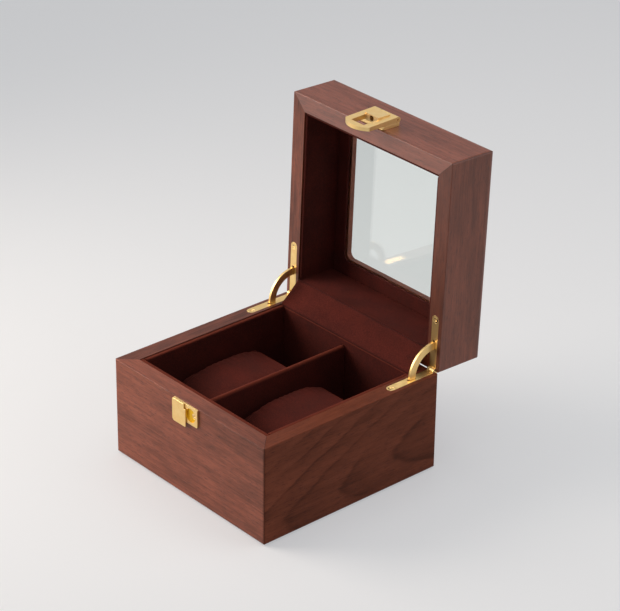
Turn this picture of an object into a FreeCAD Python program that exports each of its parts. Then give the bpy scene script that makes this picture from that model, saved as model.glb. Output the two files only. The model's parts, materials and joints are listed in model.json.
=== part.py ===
"""Two-place walnut watch box with a glazed lid, quadrant hinges and a swinging hasp.

Millimetres.  +X is the box's right, +Y its back, +Z up.  The origin is the centre of the face it stands on.
The lid is drawn shut and then turned open about the hinge line, which is how the box is shown at rest.
"""
import FreeCAD, Part
import math
import os

V = FreeCAD.Vector

# Case
box_width = 138.0
box_depth = 135.0
base_height = 65.0
lid_height = 35.0
wall = 10.5
rim_gap = 0.3
open_angle = 92.0
corner_radius = 1.4
base_foot_radius = 1.8
rim_radius = 0.5
lid_top_radius = 4.5

# Base floor and its felt
felt_thickness = 0.6
felt_inset = 4.0
floor_thickness = 4.0
floor_rebate = 4.5

# Linings and divider
base_lining = 3.0
lid_lining = 2.0
floor_lining = 2.0
lining_drop = 0.8
divider_thickness = 3.5
divider_below_rim = 4.5

# Lid window
top_board = 5.4
top_rebate = 5.0
window_width = 95.0
window_depth = 90.0
window_radius = 4.0
glass_thickness = 2.0
glass_border = 3.0
glass_clearance = 0.3
retainer_thickness = 1.6
retainer_setback = 0.8

# Watch pillows
pillow_depth = 76.0
pillow_height = 45.0
pillow_clearance = 0.7
pillow_seat_gap = 0.3
pillow_crown = 4.5
pillow_roll = 13.0
pillow_belly_height = 17.0
pillow_end_lift = 0.8
pillow_end_crown = 2.4
pillow_end_roll = 3.6
pillow_end_belly_height = 22.0

# Quadrant hinges
hinge_offset = 5.5
leaf_length = 36.0
leaf_width = 5.5
leaf_thickness = 1.6
leaf_fit = 0.1
barrel_radius = 2.0
barrel_gap = 0.25
pin_radius = 0.8
pin_fit = 0.06
lid_knuckle = 2.5
knuckle_gap = 0.2
stay_inner = 14.1
stay_outer = 18.8
stay_thickness = 1.6
stay_fit = 0.2
slot_end_gap = 0.9
stop_lug = 1.5
stop_start_angle = 8.6
stop_angle = 6.0
pocket_end_angle = 3.0

# Screws
screw_shank = 0.9
screw_length = 6.5
screw_head = 1.9
screw_fit = 0.05
leaf_end_screw = 33.2

# Catch on the base front
lock_centre = -0.6
catch_width = 22.0
catch_drop = 12.5
catch_thickness = 1.1
catch_corner = 1.0
dish_radius = 4.4
dish_floor = 0.25
dish_offset = 4.9
dish_drop = 6.4
dish_screw_offset = 7.0
catch_screw_head_depth = 1.0
hidden_screw_drop = 2.6
slide_width = 12.2
slide_drop = 15.5
slide_thickness = 0.9
slide_gap = 0.15
slide_travel = 3.4
keel_length = 4.2
keel_width = 1.8
keel_fit = 0.1
keel_foot = 1.2
keel_foot_thickness = 0.8
notch_width = 1.5
notch_drop = 3.8

# Hasp on the lid front
hasp_width = 20.8
hasp_reach = 15.0
hasp_bow = 4.7
hasp_clearance = 0.25
hasp_end_thickness = 2.2
hasp_pivot_height = 12.4
hasp_barrel = 1.9
hasp_pin_radius = 0.7
bracket_width = 20.4
bracket_thickness = 2.2
bracket_foot = 0.8
bracket_knuckle = 8.0
eye_width = 11.0
eye_drop = 10.4
eye_rise = 0.8
pad_width = 11.6
pad_rise = 0.6
pad_seat_gap = 0.15
pad_bore_radius = 1.7
pad_bore_depth = 3.0
lug_post = 1.1
lug_width = 2.4
lug_foot = 0.55
lug_foot_reach = 3.0
lug_fit = 0.2
bracket_screw_offset = 7.6
bracket_screw_height = 5.4

# Gusset over the hinge gap
gusset_thickness = 0.6
gusset_end_gap = 0.3
gusset_seat_gap = 0.1
gusset_rebate_depth = 1.2
gusset_rebate_width = 4.5

# Derived places
half_width = box_width / 2
half_depth = box_depth / 2
inner_half_width = half_width - wall
inner_half_depth = half_depth - wall
axis_y = half_depth
axis_z = base_height + rim_gap / 2
lid_rim = base_height + rim_gap
lid_top = lid_rim + lid_height
case_foot = felt_thickness
floor_top = case_foot + floor_thickness
lining_foot = floor_top + floor_lining
hinge_x = half_width - hinge_offset
window_half_width = window_width / 2
window_half_depth = window_depth / 2
board_under = lid_top - top_board
retainer_under = board_under - retainer_thickness
slide_under = catch_thickness + slide_gap
slide_face = slide_under + slide_thickness
hasp_under = slide_face + hasp_clearance
hasp_axis = bracket_thickness + hasp_barrel
hasp_top = hasp_axis + hasp_barrel

SIDES = {"left": -1, "right": 1}


def block(x0, x1, y0, y1, z0, z1):
    """Box between two corners."""
    return Part.makeBox(x1 - x0, y1 - y0, z1 - z0, V(x0, y0, z0))


def rod_x(radius, x0, x1, y, z):
    """Round bar along X."""
    return Part.makeCylinder(radius, x1 - x0, V(x0, y, z), V(1, 0, 0))


def extrude(points, way):
    """Prism on a closed outline of straight edges."""
    wire = Part.makePolygon(points + points[:1])
    return Part.Face(wire).extrude(way)


def rounded_outline(a0, a1, b0, b1, radii, place):
    """Face of a rectangle with its own radius at each corner.

    radii runs round from (a0, b0) over (a1, b0) and (a1, b1) to (a0, b1); place puts (a, b) in space.
    """
    corners = [(a0, b0, 1, 1), (a1, b0, -1, 1), (a1, b1, -1, -1), (a0, b1, 1, -1)]
    half = 1 - math.sqrt(0.5)
    edges = []
    ends = []
    for index, (a, b, ia, ib) in enumerate(corners):
        r = radii[index]
        along_b = place(a, b + ib * r)
        along_a = place(a + ia * r, b)
        first, last = (along_b, along_a) if index % 2 == 0 else (along_a, along_b)
        if r > 0:
            middle = place(a + ia * r * half, b + ib * r * half)
            edges.append(Part.Arc(first, middle, last).toShape())
        ends.append((first, last))
    for index in range(4):
        start = ends[index][1]
        stop = ends[(index + 1) % 4][0]
        edges.append(Part.LineSegment(start, stop).toShape())
    return Part.Face(Part.Wire(Part.__sortEdges__(edges)))


def rounded_case(z0, z1, foot_radius, top_radius):
    """Outer form of a case: rounded along its edges, each rounding mitred at the corners."""
    radii = [foot_radius, foot_radius, top_radius, top_radius]
    front = rounded_outline(-half_width, half_width, z0, z1, radii, lambda a, b: V(a, -half_depth, b))
    side = rounded_outline(-half_depth, half_depth, z0, z1, radii, lambda a, b: V(-half_width, a, b))
    plan = rounded_outline(-half_width, half_width, -half_depth, half_depth, [corner_radius] * 4,
                           lambda a, b: V(a, b, z0))
    form = front.extrude(V(0, box_depth, 0)).common(side.extrude(V(box_width, 0, 0)))
    return form.common(plan.extrude(V(0, 0, z1 - z0)))


def mitred_walls(z0, z1, form):
    """Four walls of a case, cut from its outer form along 45 degree mitres."""
    plan = {
        "front": [(-1, -1, 0), (1, -1, 0), (1, -1, 1), (-1, -1, 1)],
        "back": [(-1, 1, 0), (1, 1, 0), (1, 1, 1), (-1, 1, 1)],
        "left": [(-1, -1, 0), (-1, 1, 0), (-1, 1, 1), (-1, -1, 1)],
        "right": [(1, -1, 0), (1, 1, 0), (1, 1, 1), (1, -1, 1)],
    }
    walls = {}
    for side, corners in plan.items():
        points = [V(sx * (half_width - wall * inside), sy * (half_depth - wall * inside), z0)
                  for sx, sy, inside in corners]
        walls[side] = extrude(points, V(0, 0, z1 - z0)).common(form)
    return walls


def sector(r0, r1, low, high, x0, x1):
    """Plate in the shape of a ring's sector about the hinge line; angles are degrees up from forward."""
    def at(radius, angle):
        turn = math.radians(angle)
        return V(x0, axis_y - radius * math.cos(turn), axis_z + radius * math.sin(turn))
    middle = (low + high) / 2
    edges = [
        Part.Arc(at(r1, low), at(r1, middle), at(r1, high)).toShape(),
        Part.LineSegment(at(r1, high), at(r0, high)).toShape(),
        Part.Arc(at(r0, high), at(r0, middle), at(r0, low)).toShape(),
        Part.LineSegment(at(r0, low), at(r1, low)).toShape(),
    ]
    return Part.Face(Part.Wire(edges)).extrude(V(x1 - x0, 0, 0))


def open_lid(shape):
    """Turn a piece that was drawn on the shut lid to the open lid."""
    turned = shape.copy()
    turned.rotate(V(0, axis_y, axis_z), V(1, 0, 0), -open_angle)
    return turned


def at_lock(shape):
    """Move a piece of the hasp or the catch, drawn about the middle of the front, to the lock's place."""
    moved = shape.copy()
    moved.translate(V(lock_centre, 0, 0))
    return moved


def over_rim(shape):
    """Mirror a piece from the base rim to the rim of the shut lid."""
    return shape.mirror(V(0, 0, axis_z), V(0, 0, 1))


def screw(head_centre, into, head_depth):
    """Countersunk screw; into points from the head's face down the shank."""
    head = Part.makeCone(screw_head, screw_shank, head_depth, head_centre, into)
    shank = Part.makeCylinder(screw_shank, screw_length, head_centre + into * head_depth, into)
    return head.fuse(shank)


def screw_room(head_centre, into, head_depth):
    """Countersink and pilot hole for a screw."""
    neck = screw_shank + screw_fit
    head = Part.makeCone(screw_head + screw_fit, neck, head_depth, head_centre, into)
    shank = Part.makeCylinder(neck, screw_length + screw_fit, head_centre + into * head_depth, into)
    return head.fuse(shank)


def leaf_screw_place(side):
    """Head centre of one base leaf's screw."""
    return V(side * hinge_x, axis_y - leaf_end_screw, base_height)


def leaf_outline(side, grow, z0, z1):
    """Flat leaf with a round front end, from the barrel forward."""
    half = leaf_width / 2 + grow
    x = side * hinge_x
    front = axis_y - leaf_length + leaf_width / 2
    rear = axis_y - barrel_radius - barrel_gap + grow
    plate = block(x - half, x + half, front, rear, z0, z1)
    return plate.fuse(Part.makeCylinder(half, z1 - z0, V(x, front, z0))).removeSplitter()


def knuckle(x0, x1, leaf_under, leaf_top):
    """Knuckle on the hinge line with the web that joins it to its leaf."""
    web = block(x0, x1, axis_y - barrel_radius - barrel_gap, axis_y, leaf_under, leaf_top)
    return rod_x(barrel_radius, x0, x1, axis_y, axis_z).fuse(web)


def stay_slot(side, z0, z1):
    """Slot in a leaf through which the stay runs."""
    half = stay_thickness / 2 + stay_fit
    x = side * hinge_x
    return block(x - half, x + half, axis_y - stay_outer - slot_end_gap, axis_y - stay_inner + stay_fit, z0, z1)


def base_leaf(side):
    """Leaf let into the base rim, with the two outer knuckles."""
    x = side * hinge_x
    under = base_height - leaf_thickness
    leaf = leaf_outline(side, 0.0, under, base_height)
    inner = lid_knuckle / 2 + knuckle_gap
    for x0, x1 in ((x - leaf_width / 2, x - inner), (x + inner, x + leaf_width / 2)):
        leaf = leaf.fuse(knuckle(x0, x1, under, base_height))
    leaf = leaf.cut(rod_x(pin_radius, x - leaf_width, x + leaf_width, axis_y, axis_z))
    leaf = leaf.cut(stay_slot(side, under, base_height))
    leaf = leaf.cut(screw_room(leaf_screw_place(side), V(0, 0, -1), leaf_thickness))
    return leaf.removeSplitter()


def lid_leaf(side):
    """Leaf let into the lid rim, with the middle knuckle; drawn shut."""
    x = side * hinge_x
    top = lid_rim + leaf_thickness
    leaf = leaf_outline(side, 0.0, lid_rim, top)
    leaf = leaf.fuse(knuckle(x - lid_knuckle / 2, x + lid_knuckle / 2, lid_rim, top))
    leaf = leaf.cut(rod_x(pin_radius + pin_fit, x - leaf_width, x + leaf_width, axis_y, axis_z))
    leaf = leaf.cut(stay_slot(side, lid_rim, top))
    leaf = leaf.cut(over_rim(screw_room(leaf_screw_place(side), V(0, 0, -1), leaf_thickness)))
    return leaf.removeSplitter()


def hinge_pin(side):
    """Pin through the knuckles of one hinge."""
    x = side * hinge_x
    return rod_x(pin_radius, x - leaf_width / 2, x + leaf_width / 2, axis_y, axis_z)


def quadrant_stay(side):
    """Curved stay about the hinge line, with a stop lug at each end; drawn for the open lid."""
    x0 = side * hinge_x - stay_thickness / 2
    x1 = x0 + stay_thickness
    low = -stop_start_angle - stop_angle
    high = open_angle + stop_start_angle + stop_angle
    stay = sector(stay_inner, stay_outer, low, high, x0, x1)
    for start in (low, high - stop_angle):
        lug = sector(stay_inner - stop_lug, stay_outer + stop_lug, start, start + stop_angle, x0, x1)
        stay = stay.fuse(lug)
    return stay.removeSplitter()


def hinge_room(side):
    """Everything cut from the base walls for one hinge: leaf, barrel, stay pocket and pilot holes."""
    x = side * hinge_x
    depth = base_height - leaf_thickness - leaf_fit
    room = leaf_outline(side, leaf_fit, depth, lid_rim)
    barrel = barrel_radius + barrel_gap
    half = leaf_width / 2 + leaf_fit
    room = room.fuse(block(x - half, x + half, axis_y - barrel, axis_y, depth, lid_rim))
    room = room.fuse(rod_x(barrel, x - half, x + half, axis_y, axis_z))
    reach = stop_start_angle + stop_angle + open_angle / 2 + pocket_end_angle
    pocket_half = stay_thickness / 2 + stay_fit
    room = room.fuse(sector(stay_inner - stop_lug - stay_fit, stay_outer + stop_lug + stay_fit, -reach, 0.0,
                            x - pocket_half, x + pocket_half))
    return room.fuse(screw_room(leaf_screw_place(side), V(0, 0, -1), leaf_thickness))


def gusset_rebate():
    """Shallow rebate along the inner edge of the base's back rim, where the folded gusset lies."""
    return block(-inner_half_width, inner_half_width, inner_half_depth - base_lining,
                 inner_half_depth + gusset_rebate_width, base_height - gusset_rebate_depth, lid_rim)


def base_walls():
    """Walls of the base with their floor rebate, hinge rooms and the room behind the catch."""
    form = rounded_case(case_foot, base_height, base_foot_radius, rim_radius)
    walls = mitred_walls(case_foot, base_height, form)
    seat = floor_board()
    for name, wall_piece in walls.items():
        walls[name] = wall_piece.cut(seat)
    for side in SIDES.values():
        room = hinge_room(side)
        for name in ("back", "left" if side < 0 else "right"):
            walls[name] = walls[name].cut(room)
    walls["back"] = walls["back"].cut(gusset_rebate())
    walls["front"] = walls["front"].cut(at_lock(catch_room()))
    return walls


def floor_board():
    """Floor board, let into the foot of the walls."""
    x = inner_half_width + floor_rebate
    y = inner_half_depth + floor_rebate
    return block(-x, x, -y, y, case_foot, floor_top)


def felt_pad():
    """Felt under the base."""
    x = half_width - felt_inset
    y = half_depth - felt_inset
    return block(-x, x, -y, y, 0.0, felt_thickness)


def wall_linings(z0, z1, thickness):
    """Four lining boards against the walls: front and back run through, left and right stand between."""
    x = inner_half_width
    y = inner_half_depth
    return {
        "front": block(-x, x, -y, -y + thickness, z0, z1),
        "back": block(-x, x, y - thickness, y, z0, z1),
        "left": block(-x, -x + thickness, -y + thickness, y - thickness, z0, z1),
        "right": block(x - thickness, x, -y + thickness, y - thickness, z0, z1),
    }


def floor_lining_board():
    """Lining board on the floor."""
    x = inner_half_width
    y = inner_half_depth
    return block(-x, x, -y, y, floor_top, lining_foot)


def divider():
    """Board between the two places, standing on the floor lining."""
    y = inner_half_depth - base_lining
    half = divider_thickness / 2
    return block(-half, half, -y, y, lining_foot, base_height - divider_below_rim)


def pillow_section(half, height, roll, belly, crown, place):
    """Face of a pillow's cross-section: flat foot, sides that swell to the belly, and a crowned top.

    roll is how far the foot and the crown stand in from the belly; place puts (across, up) in space.
    """
    turn = math.sqrt(0.5)
    shoulder = height - crown
    flat = half - roll
    side = flat + roll * turn
    right = [(flat, 0.0), (side, belly * (1 - turn)), (half, belly),
             (side, belly + (shoulder - belly) * turn), (flat, shoulder)]
    left = [(-across, up) for across, up in reversed(right)]
    outline = [place(across, up) for across, up in right + [(0.0, height)] + left]
    edges = [Part.LineSegment(outline[-1], outline[0]).toShape()]
    for first in range(0, len(outline) - 1, 2):
        edges.append(Part.Arc(*outline[first:first + 3]).toShape())
    return Part.Face(Part.Wire(edges))


def pillow(side):
    """Soft watch pillow across one compartment: a wrapped roll, drawn in where its ends are sewn on."""
    near = divider_thickness / 2 + pillow_clearance
    far = inner_half_width - base_lining - pillow_clearance
    centre = side * (near + far) / 2
    half = (far - near) / 2
    foot = lining_foot + pillow_seat_gap
    front = -pillow_depth / 2
    roll = pillow_section(pillow_depth / 2, pillow_height, pillow_roll, pillow_belly_height, pillow_crown,
                          lambda across, up: V(centre - half, across, foot + up))
    ends = pillow_section(half, pillow_height + pillow_end_lift, pillow_end_roll, pillow_end_belly_height,
                          pillow_end_crown, lambda across, up: V(centre + across, front, foot + up))
    return roll.extrude(V(2 * half, 0, 0)).common(ends.extrude(V(0, pillow_depth, 0)))


def lid_walls():
    """Walls of the lid, drawn shut, with the seat of the top board and the hinge rooms."""
    form = rounded_case(lid_rim, lid_top, rim_radius, lid_top_radius)
    walls = mitred_walls(lid_rim, lid_top, form)
    seat_x = inner_half_width + top_rebate
    seat_y = inner_half_depth + top_rebate
    seat = block(-seat_x, seat_x, -seat_y, seat_y, board_under, lid_top)
    for name, wall_piece in walls.items():
        walls[name] = wall_piece.cut(seat)
    for side in SIDES.values():
        room = over_rim(hinge_room(side))
        for name in ("back", "left" if side < 0 else "right"):
            walls[name] = walls[name].cut(room)
    walls["back"] = walls["back"].cut(over_rim(gusset_rebate()))
    for place in bracket_screw_places():
        walls["front"] = walls["front"].cut(at_lock(screw_room(place, V(0, 1, 0), bracket_thickness)))
    return walls


def window_prism(grow, radius, z0, z1):
    """Prism of the window's outline, grown on every side."""
    x = window_half_width + grow
    y = window_half_depth + grow
    face = rounded_outline(-x, x, -y, y, [radius] * 4, lambda a, b: V(a, b, z0))
    return face.extrude(V(0, 0, z1 - z0))


def top_board_piece():
    """Top board with its window and the rebate that holds the pane."""
    x = inner_half_width + top_rebate
    y = inner_half_depth + top_rebate
    board = block(-x, x, -y, y, board_under, lid_top)
    board = board.cut(window_prism(0.0, window_radius, board_under, lid_top))
    return board.cut(window_prism(glass_border + glass_clearance, window_radius, board_under,
                                  board_under + glass_thickness))


def glass_pane():
    """Pane in the rebate of the top board."""
    return window_prism(glass_border, window_radius, board_under, board_under + glass_thickness)


def retainer():
    """Covered frame that holds the pane from inside."""
    x = inner_half_width
    y = inner_half_depth
    frame = block(-x, x, -y, y, retainer_under, board_under)
    return frame.cut(window_prism(retainer_setback, window_radius, retainer_under, board_under))


def front_block(u0, u1, low, high, v0, v1):
    """Box on the front of the case: u across, low and high up, v out from the wood."""
    return block(u0, u1, -half_depth - v1, -half_depth - v0, low, high)


def front_rod(radius, u, z, v0, v1):
    """Round bar that stands out of the front."""
    return Part.makeCylinder(radius, v1 - v0, V(u, -half_depth - v0, z), V(0, -1, 0))


def front_plate(u0, u1, low, high, v0, v1, radii):
    """Plate on the front with its own radius at each corner."""
    face = rounded_outline(u0, u1, low, high, radii, lambda a, b: V(a, -half_depth - v0, b))
    return face.extrude(V(0, v0 - v1, 0))


def slide_span():
    """Left and right edge of the thumb slide where it stands released."""
    left = -catch_width / 2
    return left, left + slide_width


def keel_span():
    """Left and right end of the slide's keel."""
    left, right = slide_span()
    middle = (left + right) / 2
    return middle - keel_length / 2 - slide_travel / 2, middle + keel_length / 2 - slide_travel / 2


def catch_screw_places():
    """Head centres of the catch plate's two screws: one in the dish, one under the slide."""
    left, right = slide_span()
    hidden = V((left + right) / 2, -half_depth - catch_thickness, base_height - hidden_screw_drop)
    shown = V(dish_screw_offset, -half_depth - dish_floor, base_height - dish_drop)
    return [hidden, shown]


def catch_plate():
    """Plate on the base front, with the round dish at the right and the slide's slot at the left."""
    half = catch_width / 2
    low = base_height - catch_drop
    plate = front_plate(-half, half, low, base_height - rim_radius, 0.0, catch_thickness,
                        [catch_corner] * 2 + [catch_corner / 2] * 2)
    centre_z = base_height - dish_drop
    plate = plate.cut(front_rod(dish_radius, dish_offset, centre_z, dish_floor, catch_thickness))
    keel_left, keel_right = keel_span()
    slot = keel_width / 2 + keel_fit
    plate = plate.cut(front_block(keel_left - keel_fit, keel_right + slide_travel + keel_fit,
                                  centre_z - slot, centre_z + slot, 0.0, catch_thickness))
    for place in catch_screw_places():
        plate = plate.cut(screw_room(place, V(0, 1, 0), catch_screw_head_depth))
    return plate


def catch_slide():
    """Thumb slide over the left of the catch plate, held by the foot of its keel."""
    left, right = slide_span()
    low = base_height - slide_drop
    plate = front_plate(left, right, low, base_height - rim_radius, slide_under, slide_face,
                        [2 * catch_corner, catch_corner / 2, catch_corner / 2, catch_corner])
    plate = plate.cut(front_block(right - notch_width, right, base_height - notch_drop, base_height,
                                  slide_under, slide_face))
    centre_z = base_height - dish_drop
    keel_left, keel_right = keel_span()
    half = keel_width / 2
    keel = front_block(keel_left, keel_right, centre_z - half, centre_z + half, -keel_fit, slide_under)
    foot_half = half + keel_foot
    foot = front_block(keel_left, keel_right, centre_z - foot_half, centre_z + foot_half,
                       -keel_fit - keel_foot_thickness, -keel_fit)
    return plate.fuse(keel).fuse(foot).removeSplitter()


def catch_room():
    """Cut from the base front: pilot holes and the track of the keel's foot."""
    keel_left, keel_right = keel_span()
    centre_z = base_height - dish_drop
    half = keel_width / 2 + keel_foot + keel_fit
    depth = keel_fit + keel_foot_thickness + keel_fit
    room = front_block(keel_left - keel_fit, keel_right + slide_travel + keel_fit,
                       centre_z - half, centre_z + half, -depth, 0.0)
    for place in catch_screw_places():
        room = room.fuse(screw_room(place, V(0, 1, 0), catch_screw_head_depth))
    return room


def bracket_screw_places():
    """Head centres of the hasp bracket's screws."""
    return [V(side * bracket_screw_offset, -half_depth - bracket_thickness, lid_rim + bracket_screw_height)
            for side in SIDES.values()]


def hasp_bracket():
    """Bracket on the lid front, with the middle knuckle of the hasp's hinge."""
    half = bracket_width / 2
    pivot_z = lid_rim + hasp_pivot_height
    bracket = front_plate(-half, half, lid_rim + bracket_foot, pivot_z + hasp_barrel, 0.0,
                          bracket_thickness, [catch_corner] * 4)
    knuckle_half = bracket_knuckle / 2
    pivot_y = -half_depth - hasp_axis
    bracket = bracket.fuse(rod_x(hasp_barrel, -knuckle_half, knuckle_half, pivot_y, pivot_z))
    bracket = bracket.fuse(front_block(-knuckle_half, knuckle_half, pivot_z - hasp_barrel / 2,
                                       pivot_z + hasp_barrel / 2, 0.0, hasp_axis))
    bracket = bracket.cut(rod_x(hasp_pin_radius, -half, half, pivot_y, pivot_z))
    for place in bracket_screw_places():
        bracket = bracket.cut(screw_room(place, V(0, 1, 0), bracket_thickness))
    return bracket.removeSplitter()


def hasp_pin():
    """Pin of the hasp's hinge."""
    half = hasp_width / 2
    return rod_x(hasp_pin_radius, -half, half, -half_depth - hasp_axis, lid_rim + hasp_pivot_height)


def hasp_outline(z_end, z_pivot):
    """Face of the hasp: straight sides and a free end bowed in one arc."""
    def at(u, z):
        return V(u, -half_depth - hasp_under, z)
    half = hasp_width / 2
    edges = [
        Part.LineSegment(at(half, z_pivot), at(half, z_end)).toShape(),
        Part.Arc(at(half, z_end), at(0, z_end - hasp_bow), at(-half, z_end)).toShape(),
        Part.LineSegment(at(-half, z_end), at(-half, z_pivot)).toShape(),
        Part.LineSegment(at(-half, z_pivot), at(half, z_pivot)).toShape(),
    ]
    return Part.Face(Part.Wire(edges))


def hasp_plate():
    """Hasp that swings on the lid: a tapering plate with an eye, a raised pad and a lug for the slide."""
    half = hasp_width / 2
    pivot_z = lid_rim + hasp_pivot_height
    pivot_y = -half_depth - hasp_axis
    end_z = lid_rim - hasp_reach + hasp_bow
    far_z = end_z - hasp_bow
    end_face = hasp_under + hasp_end_thickness
    profile = [V(-half, -half_depth - hasp_under, far_z), V(-half, -half_depth - end_face, far_z),
               V(-half, -half_depth - hasp_top, pivot_z), V(-half, -half_depth - hasp_under, pivot_z)]
    plate = extrude(profile, V(hasp_width, 0, 0))
    outline = hasp_outline(end_z, pivot_z).extrude(V(0, hasp_under - hasp_top, 0))
    plate = plate.common(outline)
    plate = plate.fuse(rod_x(hasp_barrel, -half, half, pivot_y, pivot_z))
    pad_half = pad_width / 2
    pad_low = lid_rim + eye_rise
    pad_under = bracket_thickness + pad_seat_gap
    pad_face = hasp_top + pad_rise
    plate = plate.fuse(front_block(-pad_half, pad_half, pad_low, pivot_z - hasp_barrel - knuckle_gap,
                                   pad_under, pad_face))
    eye_half = eye_width / 2
    plate = plate.cut(front_block(-eye_half, eye_half, lid_rim - eye_drop, pad_low, 0.0, pad_face))
    gap_half = bracket_knuckle / 2 + knuckle_gap
    plate = plate.cut(rod_x(hasp_barrel + knuckle_gap, -gap_half, gap_half, pivot_y, pivot_z))
    plate = plate.cut(rod_x(hasp_pin_radius + pin_fit, -half, half, pivot_y, pivot_z))
    bore_foot = V(0, -half_depth - (pad_under + pad_face) / 2, pad_low)
    plate = plate.cut(Part.makeCylinder(pad_bore_radius, pad_bore_depth, bore_foot, V(0, 0, 1)))
    return plate.fuse(hasp_lug()).removeSplitter()


def hasp_lug():
    """Lug under the hasp: a post beside the eye and a foot that the slide runs over."""
    centre_z = base_height - dish_drop
    low = centre_z - lug_width / 2
    high = centre_z + lug_width / 2
    post_left = eye_width / 2
    foot_top = slide_under - lug_fit
    post = front_block(post_left, post_left + lug_post, low, high, foot_top - lug_foot,
                       hasp_under + hasp_end_thickness / 2)
    foot = front_block(post_left - lug_foot_reach, post_left + lug_post, low, high,
                       foot_top - lug_foot, foot_top)
    return post.fuse(foot)


def gusset():
    """Velvet strip from the base's back lining to the lid's, drawn for the open lid."""
    half = inner_half_width - gusset_end_gap
    base_edge = V(0, inner_half_depth - base_lining, base_height - lining_drop + gusset_seat_gap)
    lid_edge = Part.Vertex(0, inner_half_depth - lid_lining, lid_rim + lining_drop - gusset_seat_gap)
    lid_edge = open_lid(lid_edge).Point
    along = (lid_edge - base_edge).normalize()
    thick = V(1, 0, 0).cross(along) * gusset_thickness
    points = [base_edge, lid_edge, lid_edge + thick, base_edge + thick]
    shift = V(-half, 0, 0)
    return extrude([point + shift for point in points], V(2 * half, 0, 0))


def group(solids):
    """Several like solids in one node."""
    return Part.makeCompound(solids)


def pieces():
    """Every piece of the box by its node name."""
    nodes = {}
    for name, shape in base_walls().items():
        nodes["base_" + name + "_panel"] = shape
    nodes["base_floor_board"] = floor_board()
    nodes["base_felt_pad"] = felt_pad()
    for name, shape in wall_linings(lining_foot, base_height - lining_drop, base_lining).items():
        nodes["base_lining_" + name] = shape
    nodes["base_lining_floor"] = floor_lining_board()
    nodes["compartment_divider"] = divider()
    for name, shape in lid_walls().items():
        nodes["lid_" + name + "_panel"] = open_lid(shape)
    nodes["lid_top_board"] = open_lid(top_board_piece())
    nodes["window_glass"] = open_lid(glass_pane())
    nodes["window_retainer_frame"] = open_lid(retainer())
    for name, shape in wall_linings(lid_rim + lining_drop, retainer_under, lid_lining).items():
        nodes["lid_lining_" + name] = open_lid(shape)
    for name, side in SIDES.items():
        nodes[name + "_hinge_base_leaf"] = base_leaf(side)
        nodes[name + "_hinge_lid_leaf"] = open_lid(lid_leaf(side))
        nodes[name + "_hinge_pin"] = hinge_pin(side)
        nodes[name + "_quadrant_stay"] = quadrant_stay(side)
        nodes[name + "_watch_pillow"] = pillow(side)
    base_screws = [screw(leaf_screw_place(side), V(0, 0, -1), leaf_thickness) for side in SIDES.values()]
    nodes["base_hinge_screws"] = group(base_screws)
    nodes["lid_hinge_screws"] = group([open_lid(over_rim(solid)) for solid in base_screws])
    nodes["hinge_gusset"] = gusset()
    nodes["catch_plate"] = at_lock(catch_plate())
    nodes["catch_slide"] = at_lock(catch_slide())
    nodes["catch_screws"] = group([at_lock(screw(place, V(0, 1, 0), catch_screw_head_depth))
                                   for place in catch_screw_places()])
    nodes["hasp_bracket"] = open_lid(at_lock(hasp_bracket()))
    nodes["hasp_bracket_screws"] = group([open_lid(at_lock(screw(place, V(0, 1, 0), bracket_thickness)))
                                          for place in bracket_screw_places()])
    nodes["hasp_pin"] = open_lid(at_lock(hasp_pin()))
    nodes["hasp_plate"] = open_lid(at_lock(hasp_plate()))
    return nodes


def main():
    """Write each piece to its own file."""
    os.makedirs("parts", exist_ok=True)
    for name, shape in pieces().items():
        shape.exportStep(os.path.join("parts", name + ".step"))
        print(name, len(shape.Solids), "solids", round(shape.Volume, 1), "mm3", shape.isValid())


main()
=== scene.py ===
"""Looks of a two-place walnut watch box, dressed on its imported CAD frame.

Metres, in the frame's own axes: +X is the box's right, +Y its back, +Z up, and the origin lies under the
middle of the base. The frame rests with its lid open.
"""

import json
import logging
import math
from dataclasses import dataclass, field
from enum import Enum
from typing import Any

import bmesh
import bpy
import numpy as np
from bpy.types import Material, Mesh, NodeSocket, NodeTree, Object
from mathutils import Euler, Matrix, Vector

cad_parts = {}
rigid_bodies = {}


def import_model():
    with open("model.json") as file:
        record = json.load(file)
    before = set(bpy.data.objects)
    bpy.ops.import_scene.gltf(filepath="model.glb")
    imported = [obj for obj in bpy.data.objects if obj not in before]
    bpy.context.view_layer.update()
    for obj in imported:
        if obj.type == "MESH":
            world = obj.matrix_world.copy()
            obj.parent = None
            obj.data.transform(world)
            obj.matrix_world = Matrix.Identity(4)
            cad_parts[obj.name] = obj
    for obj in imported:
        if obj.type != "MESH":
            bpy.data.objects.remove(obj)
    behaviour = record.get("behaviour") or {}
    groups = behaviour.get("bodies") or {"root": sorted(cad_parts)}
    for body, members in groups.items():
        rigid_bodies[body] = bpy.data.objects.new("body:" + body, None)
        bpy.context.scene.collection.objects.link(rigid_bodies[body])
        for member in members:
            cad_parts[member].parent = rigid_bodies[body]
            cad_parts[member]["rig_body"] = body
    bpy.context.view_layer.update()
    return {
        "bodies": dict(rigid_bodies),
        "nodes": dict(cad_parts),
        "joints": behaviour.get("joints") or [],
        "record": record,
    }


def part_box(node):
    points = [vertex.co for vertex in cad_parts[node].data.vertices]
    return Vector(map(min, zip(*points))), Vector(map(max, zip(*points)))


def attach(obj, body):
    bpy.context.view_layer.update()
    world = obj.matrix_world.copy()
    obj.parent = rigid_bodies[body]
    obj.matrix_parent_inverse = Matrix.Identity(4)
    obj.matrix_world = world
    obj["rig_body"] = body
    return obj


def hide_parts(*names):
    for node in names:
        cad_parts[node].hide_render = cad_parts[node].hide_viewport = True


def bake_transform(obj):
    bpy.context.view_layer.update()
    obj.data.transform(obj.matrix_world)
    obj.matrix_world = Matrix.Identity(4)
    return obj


Pair = tuple[float, float]
Triple = tuple[float, float, float]

LOG = logging.getLogger("watch_box")
MM = 0.001
TINY = 1e-9
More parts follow.
